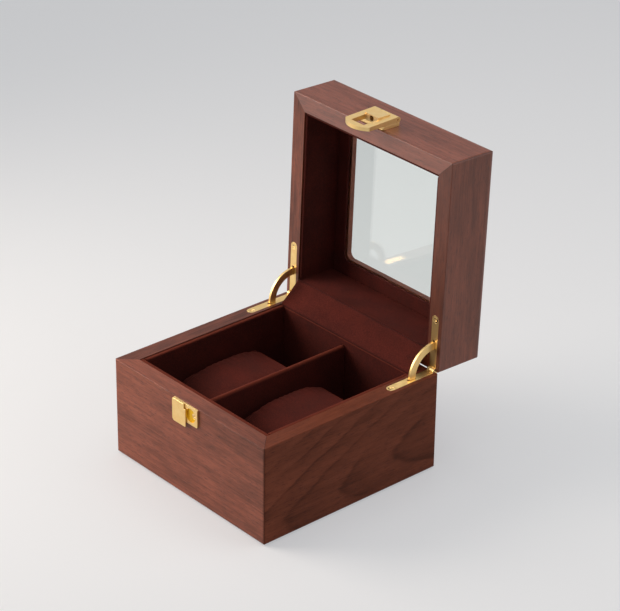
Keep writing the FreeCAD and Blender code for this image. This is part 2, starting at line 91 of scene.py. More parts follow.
# What a value from 0 to 1 covers, and what most of a noise covers.
WHOLE_RANGE = (0.0, 1.0)
NOISE_RANGE = (0.3, 0.7)
# Makes a Mix node mix colours and give the mixed one.
COLOUR_MIX = {"data_type": "RGBA", "output": 2}
# Points this near are one point, in a CAD node's loose triangles and in a new grid.
CAD_GAP = 2e-6
GRID_GAP = 1e-7
# An edge this short is taken out.
SLIVER = 1e-8


def srgb(code: str) -> tuple[float, float, float, float]:
    """Turn an sRGB hex colour into linear light.

    Args:
        code: Colour as "#rrggbb".

    Returns:
        Linear red, green and blue, and an alpha of 1.
    """
    channels = np.array([int(code[place:place + 2], 16) for place in (1, 3, 5)]) / 255
    linear = np.where(channels <= 0.04045, channels / 12.92, ((channels + 0.055) / 1.055) ** 2.4)
    return (float(linear[0]), float(linear[1]), float(linear[2]), 1.0)


def add_node(tree: NodeTree, kind: str, *values: Any, inputs: dict[str | int, Any] | None = None,
             output: str | int = 0, **settings: Any) -> NodeSocket | None:
    """Add one shader node with its settings, socket values and links.

    A socket takes a value, a hex colour or the output that feeds it.

    Args:
        tree: Node tree that gets the node.
        kind: Blender's name for the node type, after "ShaderNode".
        values: What its first sockets take, in order.
        inputs: What other sockets take, by name or index.
        output: Name or index of the output to give.
        settings: Properties of the node.

    Returns:
        The output, if the node has any.
    """
    made = tree.nodes.new("ShaderNode" + kind)
    for name, value in settings.items():
        setattr(made, name, value)
    for socket, value in (dict(enumerate(values)) | (inputs or {})).items():
        if isinstance(value, NodeSocket):
            tree.links.new(value, made.inputs[socket])
        else:
            made.inputs[socket].default_value = srgb(value) if isinstance(value, str) else value
    return made.outputs[output] if made.outputs else None


def new_material(name: str) -> tuple[Material, NodeTree, NodeSocket]:
    """Start a material.

    Args:
        name: Name of the material.

    Returns:
        The material, its node tree and the place on the object.
    """
    material = bpy.data.materials.new(name)
    material.use_nodes = True
    material.node_tree.nodes.clear()
    return material, material.node_tree, add_node(material.node_tree, "TexCoord", output="Object")


class Finish:
    """A surface that can be made into a material."""

    def shade(self, tree: NodeTree, place: NodeSocket) -> dict[str, Any]:
        """Give the sockets of the Principled shader."""
        raise NotImplementedError

    def material(self, name: str) -> Material:
        """Make the material.

        Args:
            name: Name of the material.

        Returns:
            The material, with a Principled shader on its output.
        """
        material, tree, place = new_material(name)
        add_node(tree, "OutputMaterial", add_node(tree, "BsdfPrincipled", inputs=self.shade(tree, place)))
        return material


class Grain(Enum):
    """Which way a board's grain runs, as the turn about Z that brings it to X."""

    ACROSS = 0.0
    DEPTH = -90.0


@dataclass(frozen=True)
class LidTurn:
    """Turn of the lid about its hinge line, between the shut lid and the open lid of the frame."""

    pivot: Triple
    degrees: float

    def matrix(self) -> Matrix:
        """Give the turn from the open lid to the shut one."""
        pivot = Vector(self.pivot)
        turn = Matrix.Rotation(math.radians(self.degrees), 4, "X")
        return Matrix.Translation(pivot) @ turn @ Matrix.Translation(-pivot)

    def shut(self, points: np.ndarray) -> np.ndarray:
        """Turn points of the open lid to where they lie when it is shut."""
        matrix = np.array(self.matrix())
        return points @ matrix[:3, :3].T + matrix[:3, 3]

    def opened(self, points: np.ndarray) -> np.ndarray:
        """Turn points drawn on the shut lid to the open one."""
        matrix = np.array(self.matrix().inverted())
        return points @ matrix[:3, :3].T + matrix[:3, 3]


@dataclass(frozen=True)
class Board:
    """How one board was sawn from its tree.

    The heart is the line that the growth rings run round. It goes through one point, given with the grain
    along X, and leans from the grain upwards and sideways. The rings widen along it by the taper, so a face
    that cuts them near the heart shows a flame figure. The planed edge above a height shows hardly any rings.
    A higher tone is darker. The painted shade drift darkens the wood along the grain, per 100 mm: painted
    shade of light falling off along the board. A higher contrast spreads the wood's marks further. The rim
    of a lid board may have a coat of lacquer over its satin finish, and may be darkened as painted shade.
    """

    grain: Grain
    heart_mm: Triple
    lean_degrees: Pair
    ring_mm: float = 9.0
    ring_share: float = 0.14
    taper: float = 0.0
    along_mm: float = 0.0
    tone: float = 0.0
    # Painted shade: how much darker the board gets along the grain, per 100 mm.
    painted_shade_drift: float = 0.0
    contrast: float = 1.0
    gloss: float = 0.36
    plain_above_mm: float = 1000.0
    mitred: bool = True
    rim_coat: float = 0.0
    # Painted shade on a lid board's rim, as a share of the pore colour.
    rim_painted_shade: float = 0.0


@dataclass(frozen=True)
class Walnut(Finish):
    """Black walnut, sanded and sealed with a satin lacquer.

    The eye sees cloudy brown streaks along the grain, a few dark growth lines, short dark pores, and a soft
    broad sheen. The pores are drawn wider than the real 0.2 mm so that they show. The marks are streaks,
    smudges and clouds, each with its length and width, its octaves, and how much it darkens the wood at most.
    A ring's age runs from 0 to 1 across it.
    """

    board: Board
    lid: LidTurn | None
    mitre_offset: float
    pale: str = "#9c543c"
    dark: str = "#522717"
    pore: str = "#2b120b"
    marks_mm: tuple[tuple[Pair, float, float], ...] = (
        ((42.0, 1.1), 2.0, 0.22), ((17.0, 3.4), 3.0, 0.25), ((80.0, 15.0), 3.0, 0.26))
    pore_mm: Pair = (4.2, 0.42)
    pore_range: Pair = (0.53, 0.70)
    pore_share: float = 0.52
    slow_age: Pair = (0.1, 0.9)
    slow_share: float = 0.6
    line_age: Pair = (0.74, 0.9)
    line_share: float = 0.4
    fall_age: Pair = (0.88, 1.0)
    wander_mm: Pair = (45.0, 14.0)
    wander_rings: Pair = (-0.09, 0.09)
    fade_mm: Pair = (48.0, 22.0)
    fade_range: Pair = (0.38, 0.62)
    fade_share: Pair = (0.25, 1.0)
    planed_mm: float = 0.6
    planed_share: float = 0.1
    mitre_line_mm: float = 0.16
    rim_reach_mm: float = 0.2
    rim_roughness: float = 0.3
    roughness: Pair = (0.40, 0.50)
    bump_mm: float = 0.05

    def shade(self, tree: NodeTree, place: NodeSocket) -> dict[str, Any]:
        """Draw the figure, the pores, the mitre line and the rim.

        Args:
            tree: The material's node tree.
            place: Place on the object.

        Returns:
            Sockets of the Principled shader.
        """
        board = self.board
        if self.lid is not None:
            matrix = self.lid.matrix()
            place = add_node(tree, "Mapping", place, matrix.translation, matrix.to_euler())
        along = add_node(tree, "Mapping", place, (board.along_mm * MM, 0.0, 0.0),
                         (0.0, 0.0, math.radians(board.grain.value)))
        figure = self._figure(tree, along)
        pores = self._stretched(tree, along, self.pore_mm, 2.0, self.pore_range, WHOLE_RANGE)
        wood = add_node(tree, "Mix", inputs={0: figure, 6: self.pale, 7: self.dark}, **COLOUR_MIX)
        wood = self._darkened(tree, wood, pores, self.pore_share)
        if board.mitred:
            wood = self._darkened(tree, wood, self._mitre_line(tree, place), 1.0)
        rough = add_node(tree, "MapRange", figure, *WHOLE_RANGE, *self.roughness)
        bump = add_node(tree, "Bump", invert=True, inputs={
            "Strength": 0.6, "Distance": self.bump_mm * MM, "Height": pores})
        sockets = {"Roughness": rough, "Normal": bump, "IOR": 1.45, "Specular IOR Level": board.gloss}
        if self.lid is not None and (board.rim_coat or board.rim_painted_shade):
            height = add_node(tree, "SeparateXYZ", place, output="Z")
            rim_top = self.lid.pivot[2] + self.rim_reach_mm * MM
            rim = add_node(tree, "Math", height, rim_top, operation="LESS_THAN")
            # Painted shade: the lid board's rim is darkened towards the pore colour; the coat over it is real
            # lacquer.
            wood = self._darkened(tree, wood, rim, board.rim_painted_shade)
            sockets["Coat Weight"] = add_node(tree, "Math", rim, board.rim_coat, operation="MULTIPLY")
            sockets["Coat Roughness"] = self.rim_roughness
        return sockets | {"Base Color": wood}

    def _darkened(self, tree: NodeTree, wood: NodeSocket, where: NodeSocket, most: float) -> NodeSocket:
        """Darken the wood towards the colour of its pores: for its pores and glue lines, and as painted shade
        on a lid board's rim.

        Args:
            tree: The material's node tree.
            wood: Colour of the wood.
            where: Output that is 1 where it is darkened.
            most: Share of the darkening there.

        Returns:
            Colour of the stained wood.
        """
        share = add_node(tree, "Math", where, most, operation="MULTIPLY")
        return add_node(tree, "Mix", inputs={0: share, 6: wood, 7: self.pore}, **COLOUR_MIX)

    def _figure(self, tree: NodeTree, along: NodeSocket) -> NodeSocket:
        """Add streaks, smudges and clouds along the grain to the growth rings.

        Args:
            tree: The material's node tree.
            along: Place on the board with the grain along X.

        Returns:
            Output from 0, pale, to 1, dark.
        """
        board = self.board
        figure = self._rings(tree, along)
        for size_mm, detail, most in self.marks_mm:
            spread = most * (board.contrast - 1) / 2
            share = self._stretched(tree, along, size_mm, detail, NOISE_RANGE, (-spread, most + spread))
            figure = add_node(tree, "Math", figure, share, operation="ADD")
        # The drift darkens the wood along the grain as painted shade of light falling off along the board.
        way = add_node(tree, "SeparateXYZ", along, output="X")
        tone = add_node(tree, "Math", way, board.painted_shade_drift / (100 * MM),
                        board.tone - board.along_mm * board.painted_shade_drift / 100, operation="MULTIPLY_ADD")
        return add_node(tree, "Math", figure, tone, operation="ADD", use_clamp=True)

    def _rings(self, tree: NodeTree, along: NodeSocket) -> NodeSocket:
        """Draw the growth rings round the heart.

        A point's ring number is its distance from the heart less the taper times its way along the heart,
        over the ring's width. Each ring darkens slowly to a fine dark line and soon starts pale again, more
        here and less there.

        Args:
            tree: The material's node tree.
            along: Place on the board with the grain along X.

        Returns:
            Output from 0 to the board's ring share.
        """
        board = self.board
        lean = Euler((0.0, *(math.radians(angle) for angle in board.lean_degrees)))
        heart = lean.to_matrix() @ (Vector(board.heart_mm) + Vector((board.along_mm, 0.0, 0.0))) * MM
        about = add_node(tree, "Mapping", along, -heart, lean)
        flat = add_node(tree, "VectorMath", about, (0.0, 1.0, 1.0), operation="MULTIPLY")
        apart = add_node(tree, "VectorMath", flat, operation="LENGTH", output="Value")
        way = add_node(tree, "SeparateXYZ", about, output="X")
        grown = add_node(tree, "Math", way, -board.taper, apart, operation="MULTIPLY_ADD")
        wander = self._stretched(tree, along, self.wander_mm, 4.0, NOISE_RANGE, self.wander_rings)
        number = add_node(tree, "Math", grown, 1 / (board.ring_mm * MM), wander, operation="MULTIPLY_ADD")
        age = add_node(tree, "Math", number, operation="FRACT")
        slow, line, fall = (
            add_node(tree, "MapRange", age, *source, *target, interpolation_type="SMOOTHSTEP")
            for source, target in ((self.slow_age, (0.0, self.slow_share * board.ring_share)),
                                   (self.line_age, (0.0, self.line_share * board.ring_share)),
                                   (self.fall_age, (1.0, 0.0))))
        ring = add_node(tree, "Math", slow, line, operation="ADD")
        strength = self._stretched(tree, along, self.fade_mm, 2.0, self.fade_range, self.fade_share)
        height = add_node(tree, "SeparateXYZ", along, output="Z")
        edge = add_node(tree, "MapRange", height, (board.plain_above_mm - self.planed_mm) * MM,
                        board.plain_above_mm * MM, 1.0, self.planed_share)
        for share in (fall, strength, edge):
            ring = add_node(tree, "Math", ring, share, operation="MULTIPLY")
        return ring

    @staticmethod
    def _stretched(tree: NodeTree, along: NodeSocket, size_mm: Pair, detail: float, source: Pair,
                   target: Pair) -> NodeSocket:
        """Add noise drawn out along the grain.

        Args:
            tree: The material's node tree.
            along: Place on the board with the grain along X.
            size_mm: Length and width of the noise's marks.
            detail: Octaves of the noise.
            source: Range of the noise that is used.
            target: Range that it is brought to.

        Returns:
            Output of the noise in its new range.
        """
        length, width = (1 / (size * MM) for size in size_mm)
        place = add_node(tree, "Mapping", along, inputs={"Scale": (length, width, width)})
        noise = add_node(tree, "TexNoise", place, inputs={"Scale": 1.0, "Detail": detail, "Roughness": 0.55})
        return add_node(tree, "MapRange", noise, *source, *target, interpolation_type="SMOOTHSTEP")

    def _mitre_line(self, tree: NodeTree, place: NodeSocket) -> NodeSocket:
        """Mark the glue line where two walls meet, on the planes where |x| and |y| differ by the offset.

        Args:
            tree: The material's node tree.
            place: Place on the shut box.

        Returns:
            Output that is 1 on the line and 0 off it.
        """
        across, deep = (add_node(tree, "Math", add_node(tree, "SeparateXYZ", place, output=axis),
                                 operation="ABSOLUTE") for axis in "XY")
        apart = add_node(tree, "Math", across, deep, operation="SUBTRACT")
        return add_node(tree, "Math", apart, self.mitre_offset, self.mitre_line_mm * MM, operation="COMPARE")


@dataclass(frozen=True)
class Velvet(Finish):
    """Cotton velvet with a short cut pile, glued over board: deep red-brown with a soft light rim.

    The pile is drawn coarser than the real 0.1 mm so that it shows. The mark is an attribute of the piece
    that is 1 where a colour is painted over the pile, and that colour: a painted highlight on the linings'
    top edges, painted shade in the gusset's seams.
    """

    deep: str = "#380f09"
    lit: str = "#521910"
    sheen: str = "#bd5642"
    sheen_weight: float = 0.27
    pile_mm: float = 0.8
    pile_fleck: Pair = (-0.4, 0.45)
    pile_height_mm: float = 0.2
    nap_mm: float = 16.0
    nap_shade: Pair = (0.1, 0.7)
    mark: tuple[str, str] | None = None

    def shade(self, tree: NodeTree, place: NodeSocket) -> dict[str, Any]:
        """Draw the pile, the brushed nap and the mark.

        Args:
            tree: The material's node tree.
            place: Place on the object.

        Returns:
            Sockets of the Principled shader.
        """
        pile = add_node(tree, "TexNoise", place, inputs={
            "Scale": 1 / (self.pile_mm * MM), "Detail": 2.0, "Roughness": 0.6})
        nap = add_node(tree, "TexNoise", place, inputs={
            "Scale": 1 / (self.nap_mm * MM), "Detail": 3.0, "Roughness": 0.5})
        shade = add_node(tree, "MapRange", nap, *NOISE_RANGE, *self.nap_shade)
        fleck = add_node(tree, "MapRange", pile, *NOISE_RANGE, *self.pile_fleck)
        share = add_node(tree, "Math", shade, fleck, operation="ADD", use_clamp=True)
        colour = add_node(tree, "Mix", inputs={0: share, 6: self.deep, 7: self.lit}, **COLOUR_MIX)
        # The marked colour is painted light: a highlight on the linings' top edges, shade in the gusset's
        # seams.
        if self.mark is not None:
            marked = add_node(tree, "Attribute", attribute_name=self.mark[0], output="Fac")
            colour = add_node(tree, "Mix", inputs={0: marked, 6: colour, 7: self.mark[1]}, **COLOUR_MIX)
        bump = add_node(tree, "Bump", inputs={
            "Strength": 0.55, "Distance": self.pile_height_mm * MM, "Height": pile})
        return {"Base Color": colour, "Roughness": 0.92, "Normal": bump, "Specular IOR Level": 0.2,
                "Sheen Weight": self.sheen_weight, "Sheen Roughness": 0.4, "Sheen Tint": self.sheen}


@dataclass(frozen=True)
class Brass(Finish):
    """Stamped brass, satin polished and gold plated: pale smooth faces with faint marks of handling."""

    bright: str = "#f4d698"
    warm: str = "#e5bb72"
    roughness: Pair = (0.18, 0.30)
    smudge_mm: float = 5.0
    scratch_mm: float = 0.6
    scratch_depth_mm: float = 0.02

    def shade(self, tree: NodeTree, place: NodeSocket) -> dict[str, Any]:
        """Draw the smudges and the fine scratches.

        Args:
            tree: The material's node tree.
            place: Place on the object.

        Returns:
            Sockets of the Principled shader.
        """
        smudge = add_node(tree, "TexNoise", place, inputs={
            "Scale": 1 / (self.smudge_mm * MM), "Detail": 3.0, "Roughness": 0.6})
        scratch = add_node(tree, "TexNoise", place, inputs={
            "Scale": 1 / (self.scratch_mm * MM), "Detail": 2.0, "Roughness": 0.7})
        colour = add_node(tree, "Mix", inputs={0: smudge, 6: self.bright, 7: self.warm}, **COLOUR_MIX)
        rough = add_node(tree, "MapRange", smudge, *NOISE_RANGE, *self.roughness)
        bump = add_node(tree, "Bump", inputs={
            "Strength": 0.03, "Distance": self.scratch_depth_mm * MM, "Height": scratch})
        return {"Base Color": colour, "Metallic": 1.0, "Roughness": rough, "Normal": bump}


@dataclass(frozen=True)
class Glass(Finish):
    """Clear float glass with ground edges: nearly invisible, with a mirror glint and a faint cool tint."""

    tint: str = "#f4faf8"
    roughness: float = 0.015

    def shade(self, tree: NodeTree, place: NodeSocket) -> dict[str, Any]:
        """Let the light through."""
        return {"Base Color": self.tint, "Roughness": self.roughness, "IOR": 1.5, "Transmission Weight": 1.0}


@dataclass(frozen=True)
class Felt(Finish):
    """Pressed wool felt: matt, dark brown, with matted fibres that show as fine mottling."""

    deep: str = "#241612"
    lit: str = "#3b261f"
    fibre_mm: float = 0.9
    fibre_height_mm: float = 0.2

    def shade(self, tree: NodeTree, place: NodeSocket) -> dict[str, Any]:
        """Draw the matted fibres.

        Args:
            tree: The material's node tree.
            place: Place on the object.

        Returns:
            Sockets of the Principled shader.
        """
        fibre = add_node(tree, "TexNoise", place, inputs={
            "Scale": 1 / (self.fibre_mm * MM), "Detail": 5.0, "Roughness": 0.7, "Distortion": 1.5})
        colour = add_node(tree, "Mix", inputs={0: fibre, 6: self.deep, 7: self.lit}, **COLOUR_MIX)
        bump = add_node(tree, "Bump", inputs={
            "Strength": 0.7, "Distance": self.fibre_height_mm * MM, "Height": fibre})
        return {"Base Color": colour, "Roughness": 1.0, "Normal": bump, "Sheen Weight": 0.2,
                "Sheen Roughness": 0.6}


def vectors_of(items: bpy.types.bpy_prop_collection, kind: str) -> np.ndarray:
    """Read a vector of each vertex or face of a mesh.

    Args:
        items: The mesh's vertices or polygons.
        kind: Name of the vector: "co", "center" or "normal".

    Returns:
        Array of vectors, one row each.
    """
    flat = np.empty(len(items) * 3)
    items.foreach_get(kind, flat)
    return flat.reshape(-1, 3)


def points_of(mesh: Mesh) -> np.ndarray:
    """Read a mesh's vertices, one row each."""
    return vectors_of(mesh.vertices, "co")


def mark_points(piece: Object, name: str, values: np.ndarray) -> None:
    """Keep a number with each vertex, for the material to read."""
    piece.data.attributes.new(name, "FLOAT", "POINT").data.foreach_set("value", values)


def grid_faces(rows: int, columns: int, closed: bool) -> np.ndarray:
    """Number the quads of a grid of points that is stored row by row.

    Args:
        rows: Rows of points.
        columns: Points in a row.
        closed: Whether each row joins its end to its start.

    Returns:
        Array of four point numbers for each quad.
    """
    steps = columns if closed else columns - 1
    row, column = np.meshgrid(np.arange(rows - 1), np.arange(steps), indexing="ij")
    after = (column + 1) % columns
    corners = (row * columns + column, row * columns + after,
               (row + 1) * columns + after, (row + 1) * columns + column)
    return np.stack([corner.ravel() for corner in corners], axis=1)


def welded(mesh: Mesh, gap: float) -> bmesh.types.BMesh:
    """Open a mesh for editing, with its near points joined.

    Args:
        mesh: The mesh, which stays as it is.
        gap: How near to each other points are joined.

    Returns:
        The mesh to edit.
    """
    work = bmesh.new()
    work.from_mesh(mesh)
    bmesh.ops.remove_doubles(work, verts=work.verts, dist=gap)
    return work


def shown(name: str, mesh: Mesh, work: bmesh.types.BMesh, material: Material) -> Object:
    """Close an edited mesh and put it in the scene, smooth-shaded at the origin.

    Args:
        name: Name of the object.
        mesh: Mesh that takes the edits.
        work: The edited mesh.
        material: Its finish.

    Returns:
        The object.
    """
    work.to_mesh(mesh)
    work.free()
    mesh.shade_smooth()
    mesh.materials.append(material)
    made = bpy.data.objects.new(name, mesh)
    bpy.context.scene.collection.objects.link(made)
    return made


def new_object(name: str, points: np.ndarray, faces: np.ndarray, material: Material) -> Object:
    """Make an object with merged points and outward faces.

    Args:
        name: Name of the object.
        points: Array of points.
        faces: Point numbers of each face.
        material: Its finish.

    Returns:
        The object, in the scene.
    """
    mesh = bpy.data.meshes.new(name)
    mesh.from_pydata(points.tolist(), [], faces.tolist())
    work = welded(mesh, GRID_GAP)
    bmesh.ops.dissolve_degenerate(work, edges=work.edges, dist=SLIVER)
    bmesh.ops.recalc_face_normals(work, faces=work.faces)
    return shown(name, mesh, work, material)


def even_normals(piece: Object) -> None:
    """Let the large flat faces set the shading beside rounded edges."""
    modifier = piece.modifiers.new("even_normals", "WEIGHTED_NORMAL")
    modifier.weight = 100


def edge_spacing(half: float, radius: float, round_steps: int, flat_steps: int) -> np.ndarray:
    """Place grid lines from edge to edge, close together on the rounded edges.

    Args:
        half: Half the length.
        radius: Radius of the edges.
        round_steps: Steps on each rounding.
        flat_steps: Steps on the flat between them.

    Returns:
        Increasing places from -half to half.
    """
    turn = np.linspace(0, math.pi / 2, round_steps + 1)
    rounding = half - radius + radius * np.sin(turn)
    flat = np.linspace(-(half - radius), half - radius, flat_steps + 1)
    return np.concatenate([-rounding[:0:-1], flat, rounding[1:]])


def covered_board(low: np.ndarray, high: np.ndarray, radius: float, round_steps: int = 4,
                  flat_steps: int = 6) -> tuple[np.ndarray, np.ndarray]:
    """Shape a board with cloth drawn round its edges.

    Each face is a grid over the board's two long sides. Its height falls off towards the edges as a quarter
    circle: half the thickness less radius times (1 - sqrt(1 - a^2 - b^2)), where a and b are how far the
    point lies into the rounding of either side, as a share of the radius.

    Args:
        low: Lowest corner.
        high: Highest corner.
        radius: Radius of the edges, which stays under half the thickness.
        round_steps: Steps on each rounded edge.
        flat_steps: Steps on the flat between them.

    Returns:
        Points and faces.
    """
    size = high - low
    thin = int(np.argmin(size))
    long_a, long_b = [axis for axis in range(3) if axis != thin]
    radius = min(radius, size[thin] * 0.49)
    lines = [edge_spacing(size[axis] / 2, radius, round_steps, flat_steps) for axis in (long_a, long_b)]
    across, along = np.meshgrid(*lines, indexing="ij")
    into = [np.clip((np.abs(place) - (size[axis] / 2 - radius)) / radius, 0, 1)
            for place, axis in ((across, long_a), (along, long_b))]
    height = size[thin] / 2 - radius * (1 - np.sqrt(np.clip(1 - into[0] ** 2 - into[1] ** 2, 0, 1)))
    middle = (low + high) / 2
    sheets = np.empty((2, *across.shape, 3))
    sheets[..., long_a] = middle[long_a] + across
    sheets[..., long_b] = middle[long_b] + along
    sheets[0, ..., thin] = middle[thin] - height
    sheets[1, ..., thin] = middle[thin] + height
    faces = grid_faces(*across.shape, False)
    number = np.arange(across.size).reshape(across.shape)
    rim = np.concatenate([number[0, :-1], number[:-1, -1], number[-1, :0:-1], number[:0:-1, 0]])
    after = np.roll(rim, -1)
    side = np.stack([rim, after, after + across.size, rim + across.size], axis=1)
    return sheets.reshape(-1, 3), np.concatenate([faces, faces + across.size, side])


def rounded_loop(half_x: float, half_y: float, radius: float, steps: int) -> tuple[np.ndarray, np.ndarray]:
    """Walk round a rectangle with round corners.

    Args:
        half_x: Half its width.
        half_y: Half its depth.
        radius: Radius of the corners.
        steps: Steps in each corner.

    Returns:
        Points and outward directions, two numbers each.
    """
    turn = np.linspace(0, math.pi / 2, steps + 1)
    angles = np.concatenate([turn + quarter * math.pi / 2 for quarter in range(4)])
    outward = np.stack([np.cos(angles), np.sin(angles)], axis=1)
    signs = np.repeat([[1, 1], [-1, 1], [-1, -1], [1, -1]], steps + 1, axis=0)
    return signs * [half_x - radius, half_y - radius] + radius * outward, outward


def islands(mesh: Mesh) -> list[np.ndarray]:
    """Split a mesh of several solids into the points of each.

    Args:
        mesh: The mesh.

    Returns:
        One array of points for each solid, from left to right.
    """
    work = welded(mesh, CAD_GAP)
    left = set(work.verts)
    found = []
    while left:
        reached = {left.pop()}
        edge_of = set(reached)
        while edge_of:
            edge_of = {edge.other_vert(vert) for vert in edge_of for edge in vert.link_edges} - reached
            reached |= edge_of
        left -= reached
        found.append(np.array([vert.co[:] for vert in reached]))
    work.free()
    return sorted(found, key=lambda solid: solid[:, 0].min())


def softened_copy(node: Object, name: str, width: float, material: Material, flat_degrees: float = 0.4,
                  sharp_degrees: float = 35.0) -> Object:
    """Copy a CAD node with its flats joined and its sharp edges eased, to stand in for it.

    Args:
        node: The CAD node.
        name: Name of the copy.
        width: Width of the eased edge.
        material: Its finish.
        flat_degrees: Angle up to which two faces are one flat.
        sharp_degrees: Angle from which an edge is eased.

    Returns:
        The copy, in the scene.
    """
    work = welded(node.data, CAD_GAP)
    bmesh.ops.dissolve_limit(work, angle_limit=math.radians(flat_degrees), verts=work.verts,
                             edges=work.edges)
    made = shown(name, bpy.data.meshes.new(name), work, material)
    bevel = made.modifiers.new("eased_edges", "BEVEL")
    bevel.width = width
    bevel.segments = 2
    bevel.limit_method = "ANGLE"
    bevel.angle_limit = math.radians(sharp_degrees)
    bevel.miter_outer = "MITER_ARC"
    even_normals(made)
    return made


@dataclass
class Dresser:
    """Hands finished pieces to the frame."""

    frame: dict[str, Any]

    def node(self, name: str) -> Object:
        """Give the object of a CAD node."""
        return self.frame["nodes"][name]

    def points(self, name: str) -> np.ndarray:
        """Give the vertices of a CAD node."""
        return points_of(self.node(name).data)

    def body(self, name: str) -> str:
        """Give the name of the body that a CAD node is on."""
        return self.node(name)["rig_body"]

    def finish(self, name: str, material: Material) -> None:
        """Give a CAD node its finish.

        Args:
            name: Name of the node.
            material: The finish.
        """
        mesh = self.node(name).data
        mesh.materials.clear()
        mesh.materials.append(material)
        LOG.info("%s is finished as %s", name, material.name)

    def stand_in(self, piece: Object, name: str, slot: str, rides: bool = True) -> None:
        """Let a new piece take the place of a CAD node.

        Args:
            piece: The new piece.
            name: Name of the node.
            slot: The record's material slot; not used.
            rides: Whether it rides on the node's body, as all but a blended piece do.
        """
        if rides:
            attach(piece, self.body(name))
        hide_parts(name)
        LOG.info("%s stands for %s", piece.name, name)


@dataclass
class Case:
    """Walnut walls and boards of the base and the lid."""

    dresser: Dresser
    lid: LidTurn
    boards: dict[str, Board] = field(default_factory=lambda: {
        # The front board's drift is painted shade: it darkens the board towards its right end, away from the
        # key lamp.
        "base_front_panel": Board(
            Grain.ACROSS, (0.0, -40.0, -260.0), (0.8, 0.5), ring_mm=14.0, ring_share=0.07, along_mm=40.0,
            tone=0.05, painted_shade_drift=0.13, contrast=1.2),
        "base_back_panel": Board(
            Grain.ACROSS, (20.0, 50.0, 30.0), (4.0, 0.3), ring_share=0.24, taper=0.16, along_mm=310.0,
            plain_above_mm=64.6),
        "base_left_panel": Board(
            Grain.DEPTH, (0.0, 40.0, 240.0), (0.5, 0.5), ring_mm=11.0, ring_share=0.16, along_mm=520.0,
            tone=0.42),
        # The right wall's high tone is painted shade of its side turned away from the key lamp.
        "base_right_panel": Board(
            Grain.DEPTH, (-12.0, -49.0, 14.0), (9.0, 0.0), ring_mm=10.0, ring_share=0.32, taper=0.235,
            along_mm=760.0, tone=0.30, contrast=0.5, gloss=0.10, plain_above_mm=64.6),
        "base_floor_board": Board(
            Grain.ACROSS, (0.0, 180.0, -60.0), (0.5, 0.8), ring_share=0.2, along_mm=900.0, mitred=False),
        "lid_front_panel": Board(
            Grain.ACROSS, (0.0, -190.0, 40.0), (0.9, -0.5), ring_mm=12.0, ring_share=0.16, along_mm=130.0,
            contrast=1.1, gloss=0.45, rim_coat=1.0),
        "lid_back_panel": Board(
            Grain.ACROSS, (0.0, 40.0, -210.0), (-0.4, 0.6), along_mm=420.0),
        # The darker rims of the lid's side boards are painted shade, heavier on the right rim, which gets
        # less light.
        "lid_left_panel": Board(
            Grain.DEPTH, (0.0, -30.0, -220.0), (0.7, 0.3), along_mm=610.0, tone=0.20, contrast=1.4, gloss=0.5,
            rim_painted_shade=0.08),
        "lid_right_panel": Board(
            Grain.DEPTH, (-30.0, -90.0, -120.0), (2.5, 0.4), ring_share=0.12, along_mm=840.0, tone=0.24,
            contrast=0.8, gloss=0.6, rim_painted_shade=0.2),
        "lid_top_board": Board(
            Grain.ACROSS, (0.0, 10.0, 60.0), (0.6, 3.0), ring_share=0.24, taper=0.12, along_mm=1010.0,
            mitred=False),
    })

    def dress(self) -> None:
        """Give each board its own figure, and the walls the mitre lines of the case's corners."""
        low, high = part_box("base_front_panel")
        depth_low, depth_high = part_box("base_right_panel")
        offset = (high.x - low.x - depth_high.y + depth_low.y) / 2
        for name, board in self.boards.items():
            lid = self.lid if name.startswith("lid") else None
            self.dresser.finish(name, Walnut(board, lid, offset).material("walnut_" + name))


